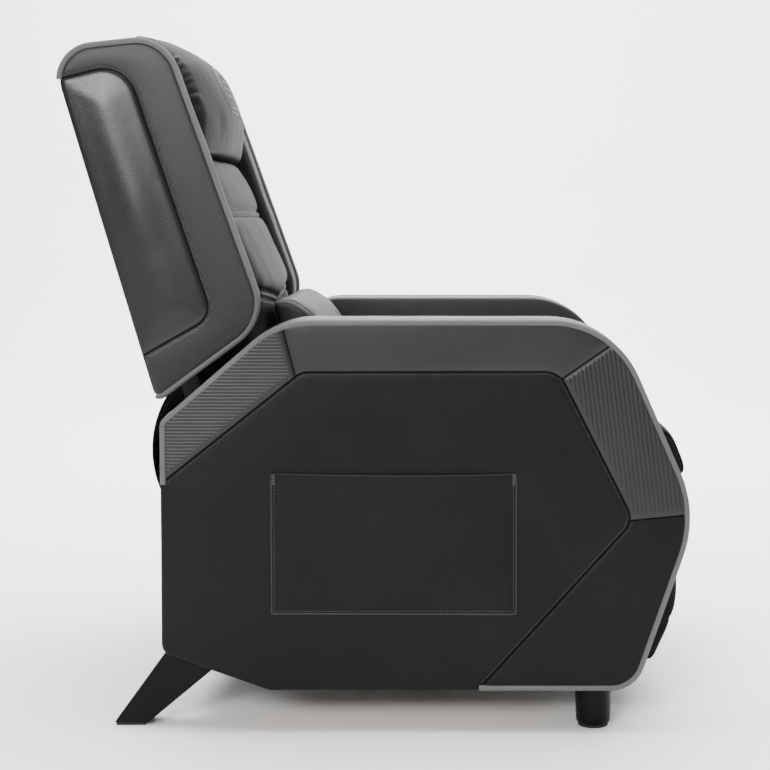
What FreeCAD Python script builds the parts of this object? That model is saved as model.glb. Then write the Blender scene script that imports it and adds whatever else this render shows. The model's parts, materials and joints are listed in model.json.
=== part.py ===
import FreeCAD, Part

import Sketcher

import math
import os
import re

# Reclining gaming armchair. +X is the way the sitter faces, +Y is the sitter's left, +Z is up.
# The origin is on the floor under the middle of the chair. Sizes are in millimetres.
# Back parts are drawn in a tilted frame: u runs forward out of the back, w runs up along it,
# and its zero is the recline pivot.

document = FreeCAD.newDocument("GamingChair")

SIZES = {
    "half_width": 400,          # middle of the chair to the outside of an arm
    "arm_width": 122,
    "arm_top": 620,
    "arm_bottom": 68,
    "arm_rear": -317,
    "arm_nose": 480.8,          # where the two front edges of an arm would meet
    "side_panel": 16,
    "arm_lining": 9.5,
    "band": 95.5,               # width of the padded strips between panel and lining
    "piping": 5,
    "pocket_long": 366,
    "pocket_tall": 211,
    "pocket_deep": 9,
    "pocket_sheet": 3.5,
    "pivot_forward": -190,
    "pivot_height": 410,
    "back_tilt": 16.46,
    "wing_outside": 335,        # middle of the chair to the outside of a back wing
    "wing_panel": 14,
    "wing_pad": 55.5,
    "back_half_inside": 265,
    "frame_tube": 25,
    "tube_wall": 2,
    "back_upright_tall": 600,
    "seat_half": 268,
    "seat_rail_height": 318,
    "seat_rail_tall": 30,
    "seat_rail_rear": -165,
    "seat_rail_long": 565,
    "hinge_forward": 449,
    "hinge_height": 330,
    "nose_radius": 31,
    "footrest_half": 254.5,
    "footrest_bottom": 62,
    "plate_inside": 272,        # middle of the chair to the inside of a mechanism plate
    "plate": 5.5,
    "link_length": 118,
    "link_lean": 14.73,
    "link_pivot_height": 215,
    "link_plate": 5,
    "pin_radius": 5,
    "recline_pin_radius": 6,
    "running_clearance": 0.05,
    "skirt_radius": 167,
    "skirt_thick": 4,
    "leg_height": 87,
    "glide": 4,
}

FRONT_LINK_AT = 230
REAR_LINK_AT = -70
SIDES = (("left", 1), ("right", -1))
UP = FreeCAD.Vector(0, 0, 1)

sheet = document.addObject("Spreadsheet::Sheet", "Sizes")
for row, (alias, size) in enumerate(SIZES.items(), start=1):
    sheet.set(f"A{row}", alias)
    sheet.set(f"B{row}", str(size))
    sheet.setAlias(f"B{row}", alias)
document.recompute()

nodes = []


def bound(expression):
    """The expression with each size name turned into a reference to its cell."""
    return re.sub(r"[a-z_]{3,}", lambda word: f"Sizes.{word[0]}" if word[0] in SIZES else word[0], expression)


def value(expression):
    """The number that a size expression stands for."""
    return float(sheet.evalExpression(bound(str(expression))))


def bind(thing, prop, expression):
    """Bind one property of an object to a size expression."""
    thing.setExpression(prop, bound(str(expression)))


def node(thing, label):
    """Name a finished sub-part and list it for export."""
    thing.Label = label
    nodes.append(thing)
    return thing


def place(thing, x="0", y="0", z="0"):
    """Bind an object's position in the chair's frame."""
    for axis, expression in zip("xyz", (x, y, z)):
        bind(thing, f"Placement.Base.{axis}", expression)


def place_on_back(thing, u="0", y="0", w="0"):
    """Bind an object's position in the tilted frame of the back, and tilt it."""
    thing.Placement = FreeCAD.Placement(
        FreeCAD.Vector(), FreeCAD.Rotation(FreeCAD.Vector(0, -1, 0), SIZES["back_tilt"]))
    bind(thing, "Placement.Rotation.Angle", "back_tilt")
    x = f"pivot_forward + ({u}) * cos(back_tilt * 1deg) - ({w}) * sin(back_tilt * 1deg)"
    z = f"pivot_height + ({u}) * sin(back_tilt * 1deg) + ({w}) * cos(back_tilt * 1deg)"
    place(thing, x, y, z)


def corner_points(corners):
    """Corner positions as vectors, and their radii as numbers."""
    points = [FreeCAD.Vector(value(x), value(z), 0) for x, z, _ in corners]
    return points, [value(radius) for _, _, radius in corners]


def grown(corners, distance):
    """The corners of the same outline moved outwards by a distance. Corners run anticlockwise."""
    points, radii = corner_points(corners)
    moved = []
    for i, point in enumerate(points):
        before = (point - points[i - 1]).normalize()
        after = (points[(i + 1) % len(points)] - point).normalize()
        half_turn = before.getAngle(after) / 2
        outwards = FreeCAD.Vector(before.y + after.y, -before.x - after.x, 0).normalize()
        corner = point + outwards * (distance / math.cos(half_turn))
        moved.append((corner.x, corner.y, radii[i] + distance))
    return moved


def add_outline(sketch, corners):
    """Add a closed outline of straight sides joined by tangent arcs, held by its corner points."""
    points, radii = corner_points(corners)
    count = len(points)
    starts, ends, arcs = [], [], []
    for i, (point, radius) in enumerate(zip(points, radii)):
        before = (point - points[i - 1]).normalize()
        after = (points[(i + 1) % count] - point).normalize()
        reach = radius * math.tan(before.getAngle(after) / 2)
        ends.append(point - before * reach)
        starts.append(point + after * reach)
        left_turn = before.x * after.y - before.y * after.x > 0
        inwards = FreeCAD.Vector(-before.y, before.x, 0) * (1 if left_turn else -1)
        arcs.append((left_turn, ends[i] + inwards * radius))
    lines = [
        sketch.addGeometry(Part.LineSegment(starts[i], ends[(i + 1) % count]), False)
        for i in range(count)
    ]
    for i, ((x, z, radius), size) in enumerate(zip(corners, radii)):
        before, after = lines[i - 1], lines[i]
        if size > 0:
            left_turn, centre = arcs[i]
            first, last = (ends[i], starts[i]) if left_turn else (starts[i], ends[i])
            circle = Part.Circle(centre, UP, size)
            arc_shape = Part.ArcOfCircle(circle, circle.parameter(first), circle.parameter(last))
            arc = sketch.addGeometry(arc_shape, False)
            held = sketch.addGeometry(Part.Point(points[i]), True)
            enters, leaves = (1, 2) if left_turn else (2, 1)
            sketch.addConstraint([
                Sketcher.Constraint("Tangent", before, 2, arc, enters),
                Sketcher.Constraint("Tangent", arc, leaves, after, 1),
                Sketcher.Constraint("PointOnObject", held, 1, before),
                Sketcher.Constraint("PointOnObject", held, 1, after),
            ])
            hold(sketch, ("Radius", arc), size, radius)
        else:
            held = after
            sketch.addConstraint(Sketcher.Constraint("Coincident", before, 2, after, 1))
        hold(sketch, ("DistanceX", -1, 1, held, 1), points[i].x, x)
        hold(sketch, ("DistanceY", -1, 1, held, 1), points[i].y, z)


def add_hole(sketch, x, z, radius):
    """Add a round hole to a sketch."""
    centre = FreeCAD.Vector(value(x), value(z), 0)
    circle = sketch.addGeometry(Part.Circle(centre, UP, value(radius)), False)
    hold(sketch, ("Radius", circle), value(radius), radius)
    hold(sketch, ("DistanceX", -1, 1, circle, 3), centre.x, x)
    hold(sketch, ("DistanceY", -1, 1, circle, 3), centre.y, z)


def hold(sketch, kind, number, expression):
    """Add one dimension to a sketch, bound to its size when it is given by name."""
    index = sketch.addConstraint(Sketcher.Constraint(*kind, number))
    if isinstance(expression, str):
        bind(sketch, f"Constraints[{index}]", expression)


def slab(label, outlines, thickness, y="0", holes=(), rounded=0, on_back=False):
    """A body with a side-view outline, padded evenly to both sides of its own middle plane."""
    body = document.addObject("PartDesign::Body", label)
    sketch = body.newObject("Sketcher::SketchObject", f"{label}_outline")
    plane = [item for item in body.Origin.OriginFeatures if item.Role == "XZ_Plane"][0]
    sketch.AttachmentSupport = [(plane, "")]
    sketch.MapMode = "FlatFace"
    for corners in outlines:
        add_outline(sketch, corners)
    for hole in holes:
        add_hole(sketch, *hole)
    pad = body.newObject("PartDesign::Pad", f"{label}_pad")
    pad.Profile = sketch
    pad.SideType = "Symmetric"
    bind(pad, "Length", thickness)
    if rounded:
        document.recompute()
        half = value(thickness) / 2
        rims = [
            f"Edge{i}" for i, edge in enumerate(pad.Shape.Edges, start=1)
            if abs(abs(edge.BoundBox.YMin) - half) < 0.01 and edge.BoundBox.YLength < 0.01
        ]
        fillet = body.newObject("PartDesign::Fillet", f"{label}_rounding")
        fillet.Base = (pad, rims)
        fillet.Radius = rounded
    if on_back:
        place_on_back(body, y=y)
    else:
        place(body, y=y)
    return body


def box(size, corner, on_back=False):
    """A box from its size and its lowest corner, all size expressions."""
    thing = document.addObject("Part::Box", "Box")
    for prop, expression in zip(("Length", "Width", "Height"), size):
        bind(thing, prop, expression)
    if on_back:
        place_on_back(thing, *corner)
    else:
        place(thing, *corner)
    return thing


def cut(base, tool):
    """One object with another taken away from it."""
    thing = document.addObject("Part::Cut", "Cut")
    thing.Base = base
    thing.Tool = tool
    return thing


def tube(size, corner, along, on_back=False):
    """A square steel tube along X, Y or Z, open at both ends."""
    inner_size = [
        expression if axis == along else f"{expression} - 2 * tube_wall"
        for axis, expression in zip("XYZ", size)
    ]
    inner_corner = [
        expression if axis == along else f"{expression} + tube_wall"
        for axis, expression in zip("XYZ", corner)
    ]
    return cut(box(size, corner, on_back), box(inner_size, inner_corner, on_back))


def group(label, members):
    """Several separate solids that share one name."""
    thing = document.addObject("Part::Compound", label)
    thing.Links = members
    return node(thing, label)


def both_sides(size, corner):
    """A box on the left and its mirror image on the right."""
    x, y, z = corner
    mirrored = (x, f"-({y}) - ({size[1]})", z)
    return [box(size, corner), box(size, mirrored)]


def pin(radius, inside, outside, x, z, sign):
    """A round pin across the chair between two distances from its middle."""
    thing = document.addObject("Part::Cylinder", "Pin")
    thing.Placement = FreeCAD.Placement(
        FreeCAD.Vector(), FreeCAD.Rotation(FreeCAD.Vector(1, 0, 0), -90))
    bind(thing, "Radius", radius)
    bind(thing, "Height", f"{outside} - ({inside})")
    place(thing, x, inside if sign > 0 else f"-({outside})", z)
    return thing


# ---- arms ---------------------------------------------------------------------------------

ARM_OUTLINE = [
    ("arm_rear", "arm_bottom + 56", "18"),
    ("-157.7", "arm_bottom", "10"),
    ("388.8", "arm_bottom", "50"),
    ("arm_nose", "332.6", "170"),
    ("354.7", "arm_top", "140"),
    ("-143.5", "arm_top", "130"),
    ("arm_rear", "470", "14"),
]

TOP_PAD_OUTLINE = [
    ("-293", "465.8", "0"),
    ("-138.3", "arm_top - 14", "116"),
    ("344.6", "arm_top - 14", "126"),
    ("383.6", "516.4", "0"),
    ("401", "524", "0"),
    ("357", "arm_top + 5", "145"),
    ("-145.5", "arm_top + 5", "135"),
    ("-305.6", "480", "0"),
]

FRONT_PAD_OUTLINE = [
    ("401.4", "523.1", "0"),
    ("384", "515.5", "0"),
    ("464.5", "332", "155"),
    ("379", "arm_bottom + 17", "20"),
    ("363", "arm_bottom + 17", "0"),
    ("363", "arm_bottom", "0"),
    ("390.6", "arm_bottom", "32"),
    ("arm_nose + 2.2", "332.6", "172"),
]

REAR_PAD_OUTLINE = [
    ("-306.35", "479.3", "0"),
    ("arm_rear", "470", "12"),
    ("arm_rear", "arm_bottom + 56", "16"),
    ("-250", "100.4", "0"),
    ("-244.6", "115.5", "0"),
    ("arm_rear + 15", "135.7", "4"),
    ("arm_rear + 15", "457.9", "0"),
    ("-293.75", "465.1", "0"),
]

LEG_BLOCK_OUTLINE = [
    ("-299", "136.5", "0"),
    ("-243.8", "117.3", "0"),
    ("-243.8", "99", "0"),
    ("-171", "74", "0"),
    ("-171", "136.5", "0"),
]


def make_arms():
    """The two arms: outer panel, inner lining, padded strips, piping and side pocket."""
    for side, sign in SIDES:
        panel_y = f"{sign} * (half_width - side_panel / 2)"
        lining_y = f"{sign} * (half_width - arm_width + arm_lining / 2)"
        band_y = f"{sign} * (half_width - side_panel - band / 2 - 0.4)"
        node(slab("side_panel", [ARM_OUTLINE], "side_panel", panel_y), f"side_panel_{side}")
        node(slab("arm_lining", [ARM_OUTLINE], "arm_lining", lining_y), f"arm_lining_{side}")
        node(slab("arm_top_pad", [TOP_PAD_OUTLINE], "band", band_y), f"arm_top_pad_{side}")
        node(slab("arm_front_pad", [FRONT_PAD_OUTLINE], "band", band_y), f"arm_front_pad_{side}")
        node(slab("arm_rear_pad", [REAR_PAD_OUTLINE], "band", band_y), f"arm_rear_pad_{side}")
        ring = [grown(ARM_OUTLINE, value("piping")), grown(ARM_OUTLINE, 0.1)]
        piping_y = f"{sign} * (half_width - piping / 2)"
        node(slab("side_piping", ring, "piping", piping_y), f"side_piping_{side}")
        make_pocket(side, sign)


def make_pocket(side, sign):
    """A flat pouch on the outside of an arm, open at the top."""
    outer_y = "half_width" if sign > 0 else "-half_width - pocket_deep"
    space_y = "half_width - 1" if sign > 0 else "-half_width - pocket_deep + pocket_sheet"
    outer = box(("pocket_long", "pocket_deep", "pocket_tall"), ("-154", outer_y, "183"))
    space = box(
        ("pocket_long - 12", "pocket_deep - pocket_sheet + 1", "pocket_tall"),
        ("-148", space_y, "189"))
    node(cut(outer, space), f"side_pocket_{side}")


def make_arm_timbers():
    """The timber frame inside each arm, one piece of each kind on each side."""
    inner = "half_width - 100"
    group("arm_top_rails", both_sides(("408", "72", "38"), ("-120", inner, "562")))
    group("arm_bottom_rails", both_sides(("530", "72", "33"), ("-170", inner, "87")))
    group("arm_front_posts", both_sides(("36", "72", "464.5"), ("289", inner, "120.5")))
    group("arm_rear_posts", both_sides(("38", "72", "320"), ("-301", inner, "137.5")))
    blocks = [slab("leg_block", [LEG_BLOCK_OUTLINE], "72", f"{sign} * 336") for _, sign in SIDES]
    group("leg_blocks", blocks)


# ---- legs and chassis ---------------------------------------------------------------------

REAR_LEG_OUTLINE = [
    ("-399.1", "glide", "0"),
    ("-347.5", "glide", "0"),
    ("-237.5", "95.5", "0"),
    ("-313.5", "122", "0"),
]


def make_legs():
    """Two tapered front legs, two splayed rear legs and the glides under them."""
    glides = []
    for side, sign in SIDES:
        leg = document.addObject("Part::Cone", "front_leg")
        leg.Radius1 = 26
        leg.Radius2 = 28.5
        bind(leg, "Height", "leg_height - glide")
        place(leg, "331", f"{sign} * 347", "glide")
        node(leg, f"front_leg_{side}")
        rear = slab("rear_leg", [REAR_LEG_OUTLINE], "46", f"{sign} * 333", rounded=3)
        node(rear, f"rear_leg_{side}")
        glide = document.addObject("Part::Cylinder", "Glide")
        glide.Radius = 23
        bind(glide, "Height", "glide")
        place(glide, "331", f"{sign} * 347")
        pad_y = "313" if sign > 0 else "-353"
        glides += [glide, box(("44", "40", "glide"), ("-396", pad_y, "0"))]
    group("leg_glides", glides)


PLATE_OUTLINE = [
    ("-222", "185", "10"),
    ("262", "185", "10"),
    ("262", "245", "10"),
    ("-60", "262", "60"),
    ("-160", "438", "22"),
    ("-222", "438", "22"),
]


def make_chassis():
    """Cross tubes, rear cover board, mechanism plates and the pins welded to them."""
    width = "2 * (half_width - arm_width)"
    start = "-(half_width - arm_width)"
    rails = [tube(("30", width, "30"), (x, start, "132"), "Y") for x in ("262", "-300")]
    group("chassis_cross_rails", rails)
    node(box(("6", f"{width} - 1", "172"), ("-313", f"{start} + 0.5", "100")), "rear_panel")
    recline_pins, link_pins = [], []
    for side, sign in SIDES:
        plate_y = f"{sign} * (plate_inside + plate / 2)"
        node(slab("mechanism_plate", [PLATE_OUTLINE], "plate", plate_y), f"mechanism_plate_{side}")
        recline_pins.append(pin(
            "recline_pin_radius", "plate_inside - 12", "plate_inside",
            "pivot_forward", "pivot_height", sign))
        for x in (FRONT_LINK_AT, REAR_LINK_AT):
            link_pins.append(pin(
                "pin_radius", "plate_inside - 8", "plate_inside", x, "link_pivot_height", sign))
    group("recline_pins", recline_pins)
    group("link_lower_pins", link_pins)


# ---- seat ---------------------------------------------------------------------------------

SEAT_OUTLINE = [
    ("-140", "353.5", "6"),
    ("408", "353.5", "0"),
    ("412", "362.5", "0"),
    ("478", "362.5", "4"),
    ("482", "385", "20"),
    ("466", "440", "30"),
    ("400", "460", "90"),
    ("-140", "456", "30"),
]

FOOTREST_BRACKET_OUTLINE = [
    ("330", "320", "3"),
    ("400", "320", "3"),
    ("440", "hinge_height - 13", "3"),
    ("hinge_forward + 13", "hinge_height - 13", "12"),
    ("hinge_forward + 13", "hinge_height + 13", "12"),
    ("430", "hinge_height + 13", "3"),
    ("330", "346", "3"),
]


def make_seat():
    """The sliding seat: tube frame, webbing, cushion, footrest brackets and link pins."""
    rail_size = ("seat_rail_long", "frame_tube", "seat_rail_tall")
    for_rail = ("seat_rail_rear", "235", "seat_rail_height")
    mirrored = ("seat_rail_rear", "-235 - frame_tube", "seat_rail_height")
    group("seat_side_rails", [tube(rail_size, corner, "X") for corner in (for_rail, mirrored)])
    cross_size = ("30", "469", "seat_rail_tall")
    crossings = ("seat_rail_rear", "seat_rail_rear + seat_rail_long - 30")
    cross = [tube(cross_size, (x, "-234.5", "seat_rail_height"), "Y") for x in crossings]
    group("seat_cross_rails", cross)
    top = "seat_rail_height + seat_rail_tall"
    lengthwise = [
        box(("seat_rail_long", "50", "2"), ("seat_rail_rear", f"{y}", f"{top} + 0.2"))
        for y in (-213, -119, -25, 69, 163)
    ]
    crosswise = [
        box(("50", "520", "2"), (f"{x}", "-260", f"{top} + 2.4")) for x in (-90, 10, 110, 210, 310)
    ]
    group("seat_webbing", lengthwise + crosswise)
    seat = slab("seat_cushion", [SEAT_OUTLINE], "2 * seat_half", rounded=3.5)
    node(seat, "seat_cushion")
    brackets, link_pins, hinge_pins = [], [], []
    for _, sign in SIDES:
        brackets.append(slab("bracket", [FOOTREST_BRACKET_OUTLINE], "4.5", f"{sign} * 262.25"))
        hinge_pins.append(pin("pin_radius", "255.2", "260", "hinge_forward", "hinge_height", sign))
        for pivot in (FRONT_LINK_AT, REAR_LINK_AT):
            upper_x = f"{pivot} - link_length * sin(link_lean * 1deg)"
            upper_z = "link_pivot_height + link_length * cos(link_lean * 1deg)"
            link_pins.append(pin("pin_radius", "260", "271", upper_x, upper_z, sign))
    group("footrest_brackets", brackets)
    group("footrest_pins", hinge_pins)
    group("link_upper_pins", link_pins)


LINK_OUTLINE = [("-13", "-13", "12"), ("13", "-13", "12"), ("13", "link_length + 9", "9"),
                ("-13", "link_length + 9", "9")]
LINK_SLOT = [("-5.4", "link_length - 10", "5.3"), ("5.4", "link_length - 10", "5.3"),
             ("5.4", "link_length + 6", "5.3"), ("-5.4", "link_length + 6", "5.3")]


def make_links(label, pivot):
    """A pair of swing links, round hole at the bottom and a short slot at the top."""
    links = []
    hole = ("0", "0", "pin_radius + running_clearance")
    for _, sign in SIDES:
        link = slab("link", [LINK_OUTLINE, LINK_SLOT], "link_plate", holes=[hole])
        link.Placement = FreeCAD.Placement(
            FreeCAD.Vector(), FreeCAD.Rotation(FreeCAD.Vector(0, -1, 0), SIZES["link_lean"]))
        bind(link, "Placement.Rotation.Angle", "link_lean")
        place(link, f"{pivot}", f"{sign} * 267.8", "link_pivot_height")
        links.append(link)
    group(label, links)


# ---- footrest -----------------------------------------------------------------------------

FOOTREST_OUTLINE = [
    ("hinge_forward - nose_radius", "hinge_height - 21", "0"),
    ("431", "hinge_height - 21", "0"),
    ("431", "footrest_bottom", "6"),
    ("452", "footrest_bottom", "14"),
    ("hinge_forward + nose_radius", "305", "120"),
    ("hinge_forward + nose_radius", "hinge_height + nose_radius", "nose_radius - 0.2"),
    ("hinge_forward - nose_radius", "hinge_height + nose_radius", "nose_radius - 0.2"),
]

FOOTREST_PLATE_OUTLINE = [
    ("419", "170", "3"),
    ("441", "170", "3"),
    ("441", "hinge_height - 13", "3"),
    ("hinge_forward + 13", "hinge_height - 13", "12"),
    ("hinge_forward + 13", "hinge_height + 13", "12"),
    ("hinge_forward - 15", "hinge_height + 13", "10"),
    ("419", "300", "10"),
]


def make_footrest():
    """The leg rest: board, pad and the steel plates that carry it on its hinge."""
    half = "footrest_half"
    node(box(("12.3", f"2 * {half}", "232"), ("418.2", f"-{half}", "76")), "footrest_board")
    node(slab("footrest_pad", [FOOTREST_OUTLINE], f"2 * {half}"), "footrest_pad")
    hole = ("hinge_forward", "hinge_height", "pin_radius + running_clearance")
    plates = [
        slab("plate", [FOOTREST_PLATE_OUTLINE], "4.2", f"{sign} * 257.3", holes=[hole])
        for _, sign in SIDES
    ]
    group("footrest_plates", plates)


# ---- back ---------------------------------------------------------------------------------

WING_OUTLINE = [
    ("-115.4", "124", "10"),
    ("80", "194", "70"),
    ("55", "645", "60"),
    ("-115.4", "674", "40"),
]

BACK_CUSHION_OUTLINE = [
    ("-50", "36", "10"),
    ("78", "36", "30"),
    ("86", "215", "200"),
    ("72", "452", "16"),
    ("-50", "452", "10"),
]

HEADREST_OUTLINE = [
    ("-55", "454", "12"),
    ("84", "454", "24"),
    ("104", "520", "60"),
    ("88", "625", "60"),
    ("30", "688", "60"),
    ("-55", "692", "24"),
]

PILLOW_OUTLINE = [
    ("88", "40", "22"),
    ("165", "30", "26"),
    ("196", "115", "40"),
    ("168", "205", "30"),
    ("128", "224", "26"),
    ("88", "214", "16"),
]

RECLINE_BRACKET_OUTLINE = [
    ("-85", "12", "4"),
    ("-20", "-16", "16"),
    ("18", "-16", "16"),
    ("18", "16", "16"),
    ("-20", "60", "16"),
    ("-60", "112", "6"),
    ("-85", "112", "6"),
]


def make_back_frame():
    """The tube frame of the back, its webbing and the brackets on the recline pivot."""
    rear = "-85"
    upright_size = ("frame_tube", "frame_tube", "back_upright_tall")
    uprights = [tube(upright_size, (rear, y, "12"), "Z", True) for y in ("237", "-237 - frame_tube")]
    group("back_uprights", uprights)
    cross_size = ("frame_tube", "473", "frame_tube")
    cross = [tube(cross_size, (rear, "-236.5", w), "Y", True) for w in ("40", "300", "587")]
    group("back_cross_rails", cross)
    straps = [
        box(("2", "524", "50"), ("-59.7", "-262", f"{w}"), True) for w in (90, 190, 350, 450, 530)
    ]
    group("back_webbing", straps)
    hole = ("0", "0", "recline_pin_radius + running_clearance")
    brackets = [
        slab("recline_bracket", [RECLINE_BRACKET_OUTLINE], "5", f"{sign} * 264.7", holes=[hole],
             on_back=True)
        for _, sign in SIDES
    ]
    group("recline_brackets", brackets)


def make_back_covers():
    """The rear shell of the back and the curved skirt that closes the gap under it."""
    shell_size = ("12", "2 * back_half_inside - 1", "546")
    node(box(shell_size, ("-115.4", "-back_half_inside + 0.5", "124"), True), "back_shell")
    sector = []
    for radius in ("skirt_radius", "skirt_radius - skirt_thick"):
        piece = document.addObject("Part::Cylinder", "Sector")
        bind(piece, "Radius", radius)
        bind(piece, "Height", "2 * back_half_inside - 1")
        piece.Angle = 84
        turned = FreeCAD.Rotation(FreeCAD.Vector(0, -1, 0), 151.5)
        laid = FreeCAD.Rotation(FreeCAD.Vector(1, 0, 0), 90)
        piece.Placement = FreeCAD.Placement(FreeCAD.Vector(), turned * laid)
        place(piece, "pivot_forward", "back_half_inside - 0.5", "pivot_height")
        sector.append(piece)
    node(cut(*sector), "back_skirt")


def make_back_soft_parts():
    """Wings, back cushion, headrest and lumbar pillow."""
    for side, sign in SIDES:
        panel_y = f"{sign} * (wing_outside - wing_panel / 2)"
        pad_y = f"{sign} * (wing_outside - wing_panel - wing_pad / 2 - 0.3)"
        piping_y = f"{sign} * (wing_outside - piping / 2)"
        ring = [grown(WING_OUTLINE, value("piping")), grown(WING_OUTLINE, 0.1)]
        panel = slab("wing_panel", [WING_OUTLINE], "wing_panel", panel_y, on_back=True)
        pad = slab("wing_pad", [WING_OUTLINE], "wing_pad", pad_y, on_back=True)
        piping = slab("wing_piping", ring, "piping", piping_y, on_back=True)
        node(panel, f"wing_panel_{side}")
        node(pad, f"wing_pad_{side}")
        node(piping, f"wing_piping_{side}")
    soft_parts = (
        ("back_cushion", BACK_CUSHION_OUTLINE, "516", 9),
        ("headrest", HEADREST_OUTLINE, "522", 11),
        ("lumbar_pillow", PILLOW_OUTLINE, "410", 15),
    )
    for label, outline, width, rounding in soft_parts:
        node(slab(label, [outline], width, rounded=rounding, on_back=True), label)


def check_and_export():
    """Stop at any failed object or bad shape, then write one STEP file for each sub-part."""
    document.recompute()
    for thing in document.Objects:
        if "Invalid" in thing.State or "Error" in thing.State:
            raise RuntimeError(f"{thing.Label} failed: {thing.State}")
    os.makedirs("parts", exist_ok=True)
    for thing in nodes:
        shape = thing.Shape
        if shape.isNull() or not shape.isValid() or shape.Volume <= 0:
            raise RuntimeError(f"{thing.Label} has a bad shape")
        shape.exportStep(f"parts/{thing.Label}.step")
        print(f"{thing.Label}: {len(shape.Solids)} solid(s), {shape.Volume / 1000:.1f} cm3")
    print(f"{len(nodes)} sub-parts")


make_arms()
make_arm_timbers()
make_legs()
make_chassis()
make_seat()
make_links("front_links", FRONT_LINK_AT)
make_links("rear_links", REAR_LINK_AT)
make_footrest()
make_back_frame()
make_back_covers()
make_back_soft_parts()
check_and_export()
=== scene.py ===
import json
import math

import bmesh
import bpy
import numpy as np
from mathutils import Matrix, Vector, geometry, noise
from mathutils.bvhtree import BVHTree


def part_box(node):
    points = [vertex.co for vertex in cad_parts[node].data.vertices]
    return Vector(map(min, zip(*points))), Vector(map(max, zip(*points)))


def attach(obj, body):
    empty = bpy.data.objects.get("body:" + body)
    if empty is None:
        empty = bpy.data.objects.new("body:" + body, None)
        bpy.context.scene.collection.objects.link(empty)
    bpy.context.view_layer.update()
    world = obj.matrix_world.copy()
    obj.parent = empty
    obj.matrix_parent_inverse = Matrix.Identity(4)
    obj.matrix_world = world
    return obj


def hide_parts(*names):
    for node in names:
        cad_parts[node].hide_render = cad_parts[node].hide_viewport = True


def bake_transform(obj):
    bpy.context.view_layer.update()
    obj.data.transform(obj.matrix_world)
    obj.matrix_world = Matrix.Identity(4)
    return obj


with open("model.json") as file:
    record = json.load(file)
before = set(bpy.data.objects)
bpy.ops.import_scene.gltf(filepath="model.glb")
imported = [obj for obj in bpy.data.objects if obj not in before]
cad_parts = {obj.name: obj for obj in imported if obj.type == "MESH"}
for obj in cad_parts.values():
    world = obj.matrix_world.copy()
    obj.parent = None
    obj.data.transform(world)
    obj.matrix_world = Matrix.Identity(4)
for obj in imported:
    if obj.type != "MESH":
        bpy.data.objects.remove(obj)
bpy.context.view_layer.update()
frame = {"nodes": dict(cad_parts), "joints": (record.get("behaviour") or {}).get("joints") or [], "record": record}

# Looks of a reclining gaming armchair, in metres. +X is the way the sitter faces, +Y the sitter's
# left. Right-hand pieces are made first and mirrored. Back parts are drawn in the tilted frame of
# the back: u runs forward out of it and w up along it, from the recline pivot.

TILT = math.radians(16.46)
PIVOT = next(joint["pos_m"] for joint in frame["joints"] if joint["name"] == "recline")


# ---- lines and flat outlines --------------------------------------------------------------

def resample(points, step, closed=False):
    """Evenly spaced points along a line of points."""
    points = np.asarray(points, float)
    line = np.vstack([points, points[:1]]) if closed else points
    run = np.concatenate([[0], np.cumsum(np.linalg.norm(np.diff(line, axis=0), axis=1))])
    at = np.linspace(0, run[-1], max(2, round(run[-1] / step)) + 1)
    even = np.column_stack([np.interp(at, run, column) for column in line.T])
    return even[:-1] if closed else even


def rounded(corners, step=0.004, closed=True):
    """Evenly spaced points along straight sides joined by arcs. A corner is (x, z, radius)."""
    points = []
    for i, (x, z, radius) in enumerate(corners):
        here = np.array((x, z))
        if radius == 0:
            points.append(here)
            continue
        before = here - corners[i - 1][:2]
        after = np.array(corners[(i + 1) % len(corners)][:2]) - here
        turn = math.atan2(before[0] * after[1] - before[1] * after[0], before @ after)
        before = before / np.linalg.norm(before)
        inwards = np.array((-before[1], before[0])) * math.copysign(radius, turn)
        centre = here - before * radius * math.tan(abs(turn) / 2) + inwards
        for part in np.linspace(0, turn, 14):
            cosine, sine = math.cos(part), math.sin(part)
            spoke = -inwards
            points.append(centre + (cosine * spoke[0] - sine * spoke[1],
                                    sine * spoke[0] + cosine * spoke[1]))
    return resample(points, step, closed)


def nearest(line, point):
    """Index of the line's point closest to a place."""
    return int(np.argmin(np.linalg.norm(line - np.array(point), axis=1)))


def stretch(line, start, end, closed=False):
    """The part of a line from its point nearest start to its point nearest end."""
    first, last = nearest(line, start), nearest(line, end)
    if last >= first:
        return line[first:last + 1]
    if closed:
        return np.vstack([line[first:], line[:last + 1]])
    return line[last:first + 1][::-1]


def joined(*parts):
    """One closed outline from parts that meet end to end."""
    loop = [parts[0][0]]
    for point in np.vstack(parts)[1:]:
        if np.linalg.norm(point - loop[-1]) > 0.0008:
            loop.append(point)
    if np.linalg.norm(loop[0] - loop[-1]) < 0.0015:
        loop.pop()
    return np.array(loop)


def normals_of(line, closed=False):
    """Unit normals of a flat line, to the right of its direction: outwards when anticlockwise."""
    if closed:
        along = np.roll(line, -1, axis=0) - np.roll(line, 1, axis=0)
    else:
        along = np.gradient(line, axis=0)
    along = along / np.linalg.norm(along, axis=1)[:, None]
    return np.column_stack([along[:, 1], -along[:, 0]])


def distance(points, line, closed=False):
    """How far each flat point is from a line."""
    ends = np.roll(line, -1, axis=0) if closed else line[1:]
    closest = np.full(len(points), 9.0)
    for start, end in zip(line, ends):
        along = end - start
        part = np.clip((points - start) @ along / max(along @ along, 1e-12), 0, 1)
        closest = np.minimum(closest, np.linalg.norm(points - start - part[:, None] * along, axis=1))
    return closest


def inside(points, loop):
    """Which flat points lie inside a closed outline."""
    x, z = points.T
    odd = np.zeros(len(points), bool)
    for (ax, az), (bx, bz) in zip(loop, np.roll(loop, -1, axis=0)):
        if az != bz:
            odd ^= ((az > z) != (bz > z)) & (x < (bx - ax) * (z - az) / (bz - az) + ax)
    return odd


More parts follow.
